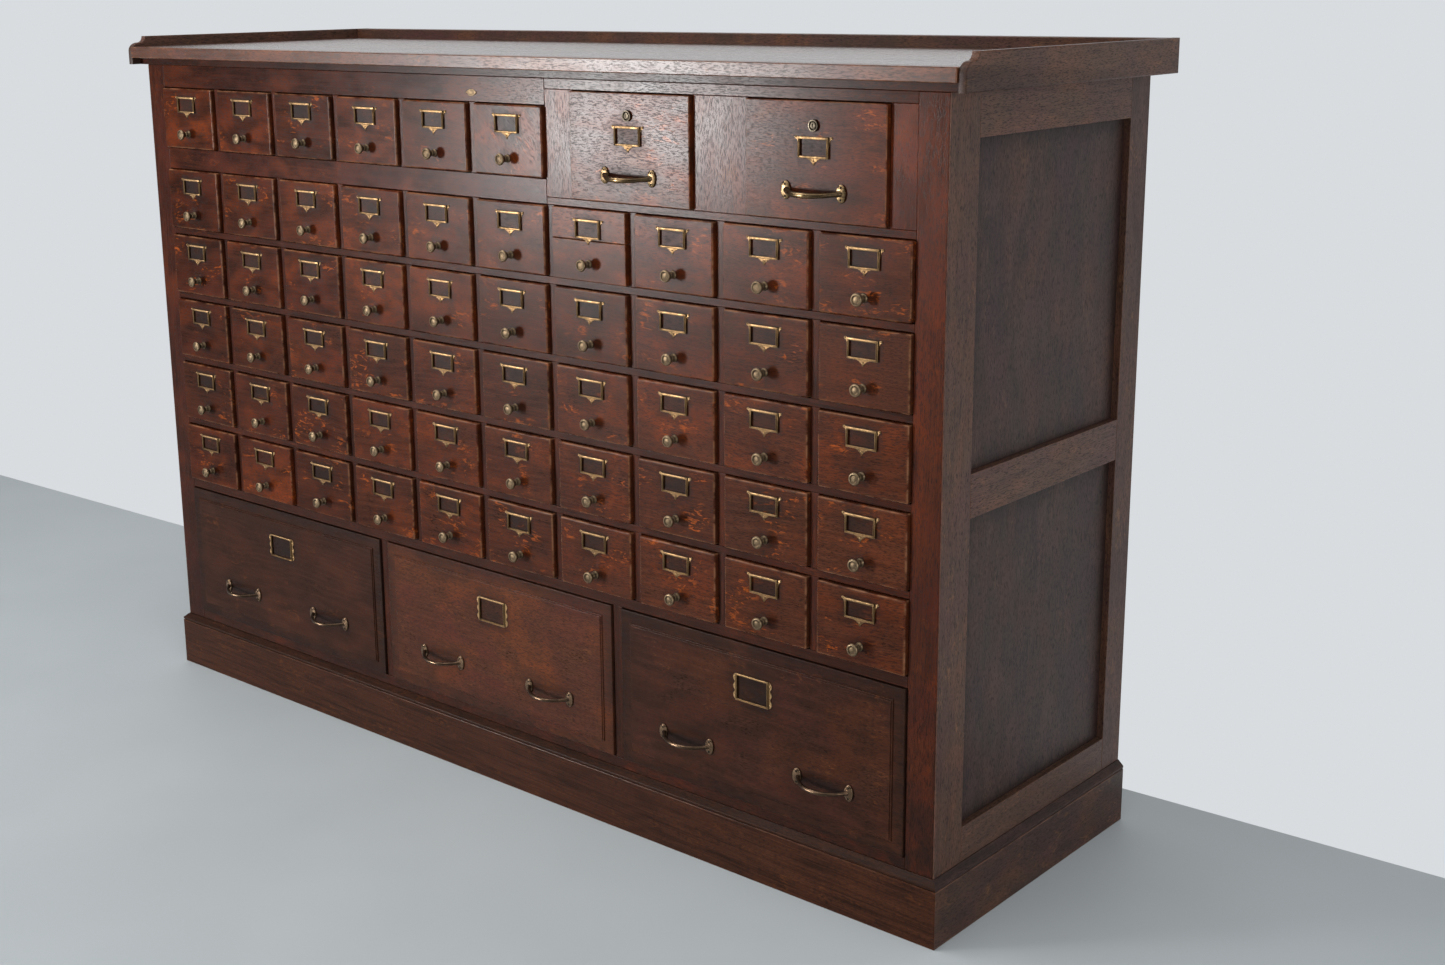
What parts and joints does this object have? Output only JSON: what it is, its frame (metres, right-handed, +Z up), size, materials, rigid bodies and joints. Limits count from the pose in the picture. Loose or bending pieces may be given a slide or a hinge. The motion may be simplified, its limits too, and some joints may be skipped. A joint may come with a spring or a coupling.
{
  "type": "apothecary cabinet",
  "caption": "Wide wooden chest of small labelled drawers, with taller lockable drawers and deep file drawers, on a bevelled plinth; every drawer holds sorted goods.",
  "frame": {"origin": "on the floor, under the centre of the whole cabinet's box, hardware included", "axes": "+X towards the viewer's right along the width, -Y out of the drawer fronts, +Z up"},
  "size_m": [1.9186, 0.6166, 1.2895],
  "materials": {
    "oak_front": "satin varnish",
    "oak_side": "worn satin varnish",
    "oak_top": "polished varnish",
    "oak_inner": "bare",
    "brass_label": "aged",
    "brass_knob": "aged, dull",
    "brass_handle": "dark, worn bright on the grip"
  },
  "bodies": {
    "carcass": {"plinth": "oak_front", "side_left": "oak_side", "side_right": "oak_side", "face_frame": "oak_front", "divider_grid": "oak_inner", "back_panel": "oak_inner", "top_board": "oak_top", "gallery": "oak_side", "drawer_row_5_joined": "oak_front"},
    "drawer_top_c01": {"drawer_top_c01": "oak_front"},
    "drawer_top_c02": {"drawer_top_c02": "oak_front"},
    "drawer_top_c03": {"drawer_top_c03": "oak_front"},
    "drawer_top_c04": {"drawer_top_c04": "oak_front"},
    "drawer_top_c05": {"drawer_top_c05": "oak_front"},
    "drawer_top_c06": {"drawer_top_c06": "oak_front"},
    "drawer_r1_c01": {"drawer_r1_c01": "oak_front"},
    "drawer_r1_c02": {"drawer_r1_c02": "oak_front"},
    "drawer_r1_c03": {"drawer_r1_c03": "oak_front"},
    "drawer_r1_c04": {"drawer_r1_c04": "oak_front"},
    "drawer_r1_c05": {"drawer_r1_c05": "oak_front"},
    "drawer_r1_c06": {"drawer_r1_c06": "oak_front"},
    "drawer_r1_c07": {"drawer_r1_c07": "oak_front"},
    "drawer_r1_c08": {"drawer_r1_c08": "oak_front"},
    "drawer_r1_c09": {"drawer_r1_c09": "oak_front"},
    "drawer_r1_c10": {"drawer_r1_c10": "oak_front"},
    "drawer_r2_c01": {"drawer_r2_c01": "oak_front"},
    "drawer_r2_c02": {"drawer_r2_c02": "oak_front"},
    "drawer_r2_c03": {"drawer_r2_c03": "oak_front"},
    "drawer_r2_c04": {"drawer_r2_c04": "oak_front"},
    "drawer_r2_c05": {"drawer_r2_c05": "oak_front"},
    "drawer_r2_c06": {"drawer_r2_c06": "oak_front"},
    "drawer_r2_c07": {"drawer_r2_c07": "oak_front"},
    "drawer_r2_c08": {"drawer_r2_c08": "oak_front"},
    "drawer_r2_c09": {"drawer_r2_c09": "oak_front"},
    "drawer_r2_c10": {"drawer_r2_c10": "oak_front"},
    "drawer_r3_c01": {"drawer_r3_c01": "oak_front"},
    "drawer_r3_c02": {"drawer_r3_c02": "oak_front"},
    "drawer_r3_c03": {"drawer_r3_c03": "oak_front"},
    "drawer_r3_c04": {"drawer_r3_c04": "oak_front"},
    "drawer_r3_c05": {"drawer_r3_c05": "oak_front"},
    "drawer_r3_c06": {"drawer_r3_c06": "oak_front"},
    "drawer_r3_c07": {"drawer_r3_c07": "oak_front"},
    "drawer_r3_c08": {"drawer_r3_c08": "oak_front"},
    "drawer_r3_c09": {"drawer_r3_c09": "oak_front"},
    "drawer_r3_c10": {"drawer_r3_c10": "oak_front"},
    "drawer_r4_c01": {"drawer_r4_c01": "oak_front"},
    "drawer_r4_c02": {"drawer_r4_c02": "oak_front"},
    "drawer_r4_c03": {"drawer_r4_c03": "oak_front"},
    "drawer_r4_c04": {"drawer_r4_c04": "oak_front"},
    "drawer_r4_c05": {"drawer_r4_c05": "oak_front"},
    "drawer_r4_c06": {"drawer_r4_c06": "oak_front"},
    "drawer_r4_c07": {"drawer_r4_c07": "oak_front"},
    "drawer_r4_c08": {"drawer_r4_c08": "oak_front"},
    "drawer_r4_c09": {"drawer_r4_c09": "oak_front"},
    "drawer_r4_c10": {"drawer_r4_c10": "oak_front"},
    "lock_drawer_left": {"lock_drawer_left": "oak_front"},
    "lock_drawer_right": {"lock_drawer_right": "oak_front"},
    "file_drawer_left": {"file_drawer_left": "oak_front"},
    "file_drawer_middle": {"file_drawer_middle": "oak_front"},
    "file_drawer_right": {"file_drawer_right": "oak_front"}
  },
  "joints": [
    {"name": "drawer_top_c01_slide", "type": "slide", "parent": "carcass", "child": "drawer_top_c01", "axis": [0, -1, 0], "range_m": [0, 0.4]},
    {"name": "drawer_top_c02_slide", "type": "slide", "parent": "carcass", "child": "drawer_top_c02", "axis": [0, -1, 0], "range_m": [0, 0.4]},
    {"name": "drawer_top_c03_slide", "type": "slide", "parent": "carcass", "child": "drawer_top_c03", "axis": [0, -1, 0], "range_m": [0, 0.4]},
    {"name": "drawer_top_c04_slide", "type": "slide", "parent": "carcass", "child": "drawer_top_c04", "axis": [0, -1, 0], "range_m": [0, 0.4]},
    {"name": "drawer_top_c05_slide", "type": "slide", "parent": "carcass", "child": "drawer_top_c05", "axis": [0, -1, 0], "range_m": [0, 0.4]},
    {"name": "drawer_top_c06_slide", "type": "slide", "parent": "carcass", "child": "drawer_top_c06", "axis": [0, -1, 0], "range_m": [0, 0.4]},
    {"name": "drawer_r1_c01_slide", "type": "slide", "parent": "carcass", "child": "drawer_r1_c01", "axis": [0, -1, 0], "range_m": [0, 0.4]},
    {"name": "drawer_r1_c02_slide", "type": "slide", "parent": "carcass", "child": "drawer_r1_c02", "axis": [0, -1, 0], "range_m": [0, 0.4]},
    {"name": "drawer_r1_c03_slide", "type": "slide", "parent": "carcass", "child": "drawer_r1_c03", "axis": [0, -1, 0], "range_m": [0, 0.4]},
    {"name": "drawer_r1_c04_slide", "type": "slide", "parent": "carcass", "child": "drawer_r1_c04", "axis": [0, -1, 0], "range_m": [0, 0.4]},
    {"name": "drawer_r1_c05_slide", "type": "slide", "parent": "carcass", "child": "drawer_r1_c05", "axis": [0, -1, 0], "range_m": [0, 0.4]},
    {"name": "drawer_r1_c06_slide", "type": "slide", "parent": "carcass", "child": "drawer_r1_c06", "axis": [0, -1, 0], "range_m": [0, 0.4]},
    {"name": "drawer_r1_c07_slide", "type": "slide", "parent": "carcass", "child": "drawer_r1_c07", "axis": [0, -1, 0], "range_m": [0, 0.4]},
    {"name": "drawer_r1_c08_slide", "type": "slide", "parent": "carcass", "child": "drawer_r1_c08", "axis": [0, -1, 0], "range_m": [0, 0.4]},
    {"name": "drawer_r1_c09_slide", "type": "slide", "parent": "carcass", "child": "drawer_r1_c09", "axis": [0, -1, 0], "range_m": [0, 0.4]},
    {"name": "drawer_r1_c10_slide", "type": "slide", "parent": "carcass", "child": "drawer_r1_c10", "axis": [0, -1, 0], "range_m": [0, 0.4]},
    {"name": "drawer_r2_c01_slide", "type": "slide", "parent": "carcass", "child": "drawer_r2_c01", "axis": [0, -1, 0], "range_m": [0, 0.4]},
    {"name": "drawer_r2_c02_slide", "type": "slide", "parent": "carcass", "child": "drawer_r2_c02", "axis": [0, -1, 0], "range_m": [0, 0.4]},
    {"name": "drawer_r2_c03_slide", "type": "slide", "parent": "carcass", "child": "drawer_r2_c03", "axis": [0, -1, 0], "range_m": [0, 0.4]},
    {"name": "drawer_r2_c04_slide", "type": "slide", "parent": "carcass", "child": "drawer_r2_c04", "axis": [0, -1, 0], "range_m": [0, 0.4]},
    {"name": "drawer_r2_c05_slide", "type": "slide", "parent": "carcass", "child": "drawer_r2_c05", "axis": [0, -1, 0], "range_m": [0, 0.4]},
    {"name": "drawer_r2_c06_slide", "type": "slide", "parent": "carcass", "child": "drawer_r2_c06", "axis": [0, -1, 0], "range_m": [0, 0.4]},
    {"name": "drawer_r2_c07_slide", "type": "slide", "parent": "carcass", "child": "drawer_r2_c07", "axis": [0, -1, 0], "range_m": [0, 0.4]},
    {"name": "drawer_r2_c08_slide", "type": "slide", "parent": "carcass", "child": "drawer_r2_c08", "axis": [0, -1, 0], "range_m": [0, 0.4]},
    {"name": "drawer_r2_c09_slide", "type": "slide", "parent": "carcass", "child": "drawer_r2_c09", "axis": [0, -1, 0], "range_m": [0, 0.4]},
    {"name": "drawer_r2_c10_slide", "type": "slide", "parent": "carcass", "child": "drawer_r2_c10", "axis": [0, -1, 0], "range_m": [0, 0.4]},
    {"name": "drawer_r3_c01_slide", "type": "slide", "parent": "carcass", "child": "drawer_r3_c01", "axis": [0, -1, 0], "range_m": [0, 0.4]},
    {"name": "drawer_r3_c02_slide", "type": "slide", "parent": "carcass", "child": "drawer_r3_c02", "axis": [0, -1, 0], "range_m": [0, 0.4]},
    {"name": "drawer_r3_c03_slide", "type": "slide", "parent": "carcass", "child": "drawer_r3_c03", "axis": [0, -1, 0], "range_m": [0, 0.4]},
    {"name": "drawer_r3_c04_slide", "type": "slide", "parent": "carcass", "child": "drawer_r3_c04", "axis": [0, -1, 0], "range_m": [0, 0.4]},
    {"name": "drawer_r3_c05_slide", "type": "slide", "parent": "carcass", "child": "drawer_r3_c05", "axis": [0, -1, 0], "range_m": [0, 0.4]},
    {"name": "drawer_r3_c06_slide", "type": "slide", "parent": "carcass", "child": "drawer_r3_c06", "axis": [0, -1, 0], "range_m": [0, 0.4]},
    {"name": "drawer_r3_c07_slide", "type": "slide", "parent": "carcass", "child": "drawer_r3_c07", "axis": [0, -1, 0], "range_m": [0, 0.4]},
    {"name": "drawer_r3_c08_slide", "type": "slide", "parent": "carcass", "child": "drawer_r3_c08", "axis": [0, -1, 0], "range_m": [0, 0.4]},
    {"name": "drawer_r3_c09_slide", "type": "slide", "parent": "carcass", "child": "drawer_r3_c09", "axis": [0, -1, 0], "range_m": [0, 0.4]},
    {"name": "drawer_r3_c10_slide", "type": "slide", "parent": "carcass", "child": "drawer_r3_c10", "axis": [0, -1, 0], "range_m": [0, 0.4]},
    {"name": "drawer_r4_c01_slide", "type": "slide", "parent": "carcass", "child": "drawer_r4_c01", "axis": [0, -1, 0], "range_m": [0, 0.4]},
    {"name": "drawer_r4_c02_slide", "type": "slide", "parent": "carcass", "child": "drawer_r4_c02", "axis": [0, -1, 0], "range_m": [0, 0.4]},
    {"name": "drawer_r4_c03_slide", "type": "slide", "parent": "carcass", "child": "drawer_r4_c03", "axis": [0, -1, 0], "range_m": [0, 0.4]},
    {"name": "drawer_r4_c04_slide", "type": "slide", "parent": "carcass", "child": "drawer_r4_c04", "axis": [0, -1, 0], "range_m": [0, 0.4]},
    {"name": "drawer_r4_c05_slide", "type": "slide", "parent": "carcass", "child": "drawer_r4_c05", "axis": [0, -1, 0], "range_m": [0, 0.4]},
    {"name": "drawer_r4_c06_slide", "type": "slide", "parent": "carcass", "child": "drawer_r4_c06", "axis": [0, -1, 0], "range_m": [0, 0.4]},
    {"name": "drawer_r4_c07_slide", "type": "slide", "parent": "carcass", "child": "drawer_r4_c07", "axis": [0, -1, 0], "range_m": [0, 0.4]},
    {"name": "drawer_r4_c08_slide", "type": "slide", "parent": "carcass", "child": "drawer_r4_c08", "axis": [0, -1, 0], "range_m": [0, 0.4]},
    {"name": "drawer_r4_c09_slide", "type": "slide", "parent": "carcass", "child": "drawer_r4_c09", "axis": [0, -1, 0], "range_m": [0, 0.4]},
    {"name": "drawer_r4_c10_slide", "type": "slide", "parent": "carcass", "child": "drawer_r4_c10", "axis": [0, -1, 0], "range_m": [0, 0.4]},
    {"name": "lock_drawer_left_slide", "type": "slide", "parent": "carcass", "child": "lock_drawer_left", "axis": [0, -1, 0], "range_m": [0, 0.4]},
    {"name": "lock_drawer_right_slide", "type": "slide", "parent": "carcass", "child": "lock_drawer_right", "axis": [0, -1, 0], "range_m": [0, 0.4]},
    {"name": "file_drawer_left_slide", "type": "slide", "parent": "carcass", "child": "file_drawer_left", "axis": [0, -1, 0], "range_m": [0, 0.42]},
    {"name": "file_drawer_middle_slide", "type": "slide", "parent": "carcass", "child": "file_drawer_middle", "axis": [0, -1, 0], "range_m": [0, 0.42]},
    {"name": "file_drawer_right_slide", "type": "slide", "parent": "carcass", "child": "file_drawer_right", "axis": [0, -1, 0], "range_m": [0, 0.42]}
  ]
}
